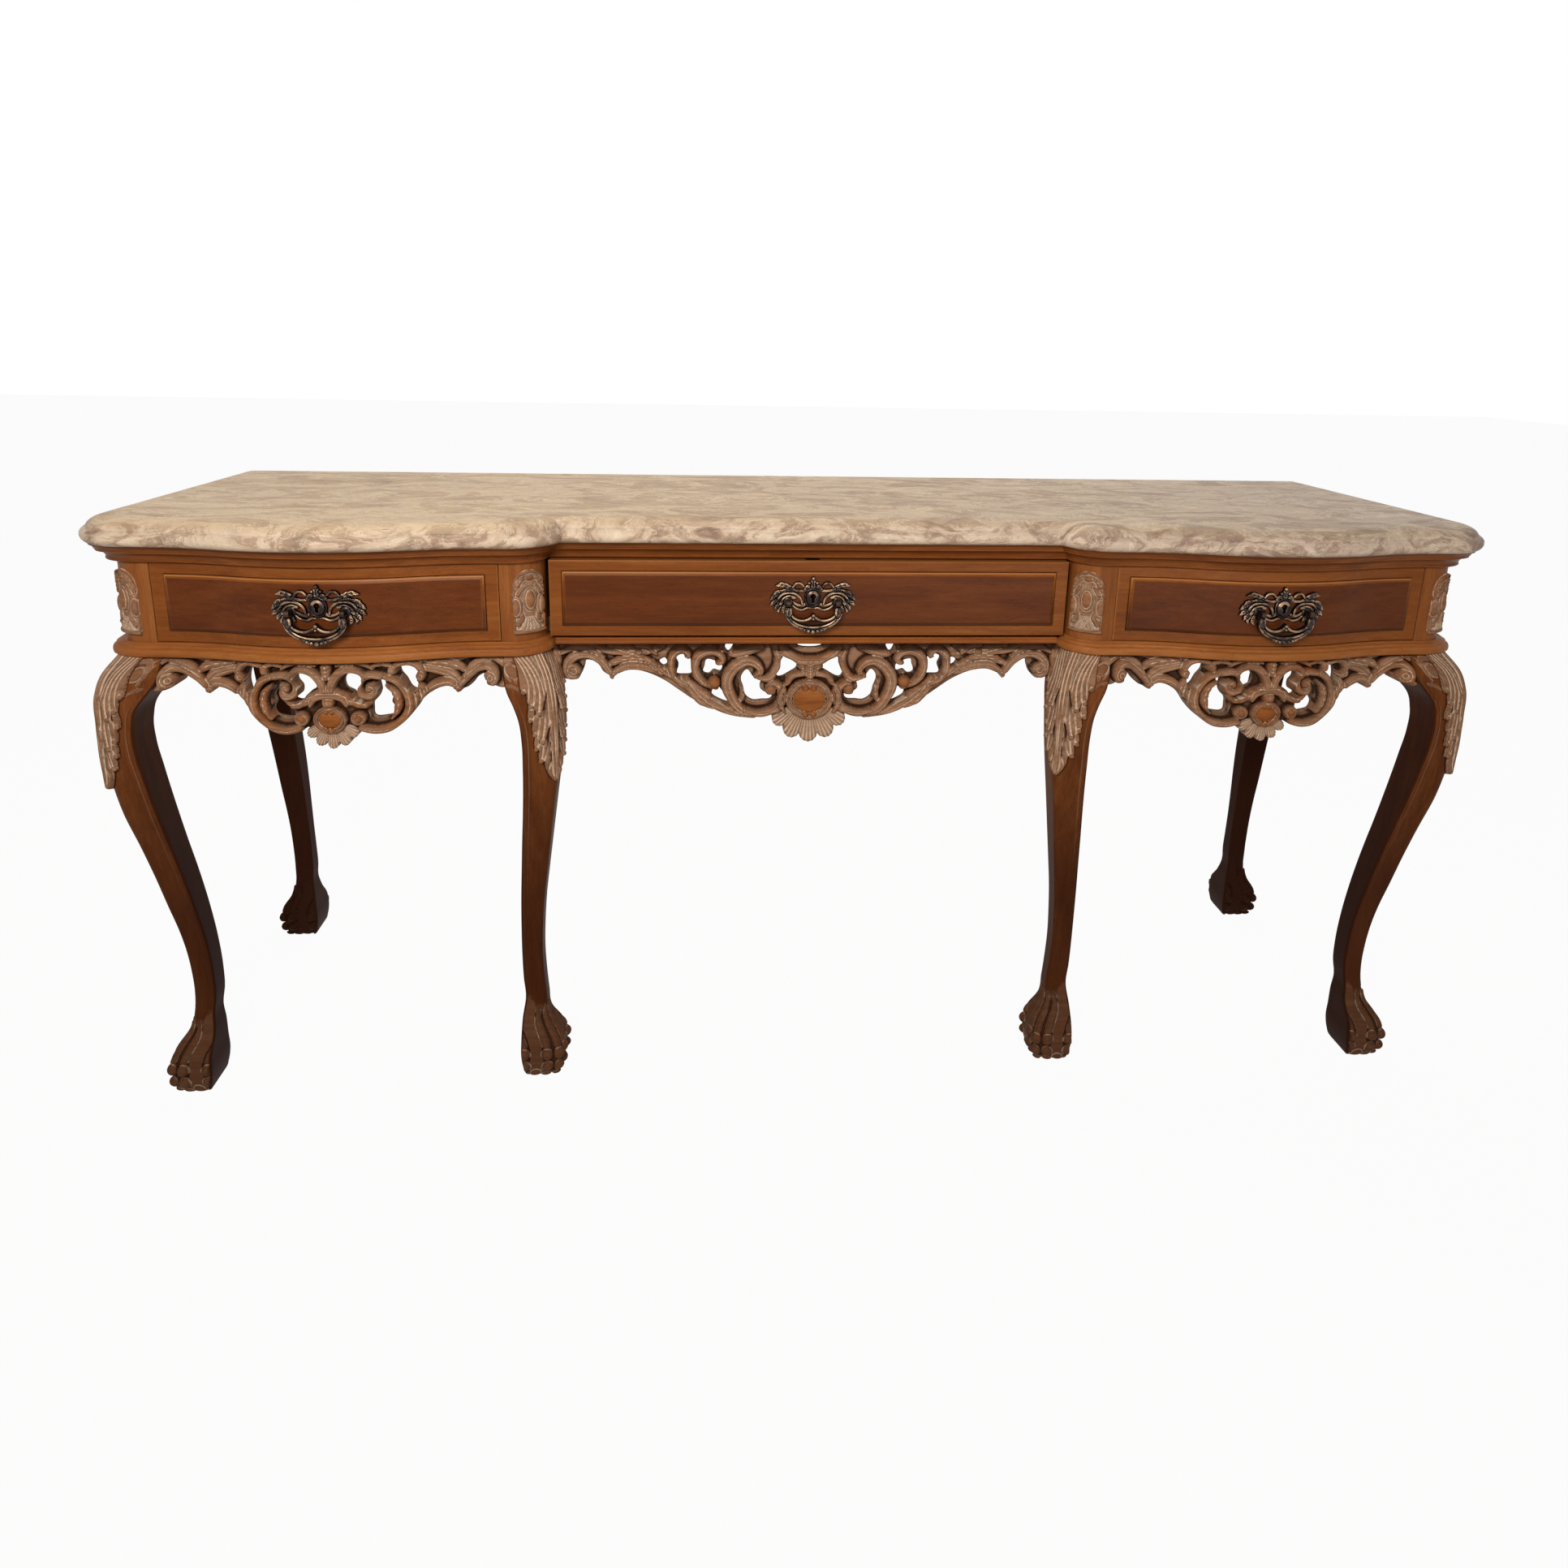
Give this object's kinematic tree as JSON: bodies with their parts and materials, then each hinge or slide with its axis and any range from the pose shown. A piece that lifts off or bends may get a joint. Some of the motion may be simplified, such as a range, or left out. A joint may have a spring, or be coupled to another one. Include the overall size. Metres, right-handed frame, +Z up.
{
  "type": "pier table",
  "caption": "Long pier table with a moulded marble slab, bowed end drawers either side of a straight centre drawer, pierced carved aprons and cabriole legs on paw feet.",
  "frame": {"origin": "middle of the bounding box, on the floor", "axes": "+X along the table to its right end seen from the front, +Y to the back, +Z up; drawers open to -Y"},
  "size_m": [1.964, 0.5358, 0.88],
  "materials": {
    "marble": "polished, veined",
    "case_wood": "satin varnish",
    "stile_wood": "satin varnish, limed carving",
    "front_wood": "satin varnish",
    "leg_wood": "satin varnish, limed carving",
    "carving": "limed carving",
    "inner_wood": "unvarnished",
    "brass": "aged casting",
    "lock_iron": "dark"
  },
  "bodies": {
    "table": {"apron_centre": "carving", "apron_left": "carving", "apron_right": "carving", "back_panel": "inner_wood", "bottom_board_centre": "inner_wood", "bottom_board_left": "case_wood", "bottom_board_right": "case_wood", "carcase_top": "inner_wood", "centre_rail": "case_wood", "cornice_centre": "case_wood", "cornice_left": "case_wood", "cornice_right": "case_wood", "drawer_guides": "inner_wood", "drawer_kickers": "inner_wood", "drawer_stops": "inner_wood", "end_panel_left": "case_wood", "end_panel_right": "case_wood", "leg_front_left": "leg_wood", "leg_front_right": "leg_wood", "leg_inner_left": "leg_wood", "leg_inner_right": "leg_wood", "leg_rear_left": "leg_wood", "leg_rear_right": "leg_wood", "marble_top": "marble", "partition_left": "inner_wood", "partition_right": "inner_wood", "rear_post_left": "case_wood", "rear_post_right": "case_wood", "stile_inner_left": "stile_wood", "stile_inner_right": "stile_wood", "stile_outer_left": "stile_wood", "stile_outer_right": "stile_wood"},
    "drawer_left": {"drawer_front_left": "front_wood", "drawer_sides_left": "inner_wood", "drawer_back_left": "inner_wood", "drawer_bottom_left": "inner_wood", "lock_left": "lock_iron", "handle_plate_left": "brass", "handle_posts_left": "brass"},
    "bail_left": {"bail_left": "brass"},
    "drawer_centre": {"drawer_front_centre": "front_wood", "drawer_sides_centre": "inner_wood", "drawer_back_centre": "inner_wood", "drawer_bottom_centre": "inner_wood", "lock_centre": "lock_iron", "handle_plate_centre": "brass", "handle_posts_centre": "brass"},
    "bail_centre": {"bail_centre": "brass"},
    "drawer_right": {"drawer_front_right": "front_wood", "drawer_sides_right": "inner_wood", "drawer_back_right": "inner_wood", "drawer_bottom_right": "inner_wood", "lock_right": "lock_iron", "handle_plate_right": "brass", "handle_posts_right": "brass"},
    "bail_right": {"bail_right": "brass"}
  },
  "joints": [
    {"name": "drawer_left_slide", "type": "slide", "parent": "table", "child": "drawer_left", "axis": [0, -1, 0], "range_m": [0, 0.28]},
    {"name": "bail_left_swing", "type": "hinge", "parent": "drawer_left", "child": "bail_left", "pos_m": [-0.66, -0.246, 0.7614], "axis": [-1, 0, 0], "range_deg": [0, 85]},
    {"name": "drawer_centre_slide", "type": "slide", "parent": "table", "child": "drawer_centre", "axis": [0, -1, 0], "range_m": [0, 0.28]},
    {"name": "bail_centre_swing", "type": "hinge", "parent": "drawer_centre", "child": "bail_centre", "pos_m": [0, -0.191, 0.7614], "axis": [-1, 0, 0], "range_deg": [0, 85]},
    {"name": "drawer_right_slide", "type": "slide", "parent": "table", "child": "drawer_right", "axis": [0, -1, 0], "range_m": [0, 0.28]},
    {"name": "bail_right_swing", "type": "hinge", "parent": "drawer_right", "child": "bail_right", "pos_m": [0.66, -0.246, 0.7614], "axis": [-1, 0, 0], "range_deg": [0, 85]}
  ]
}
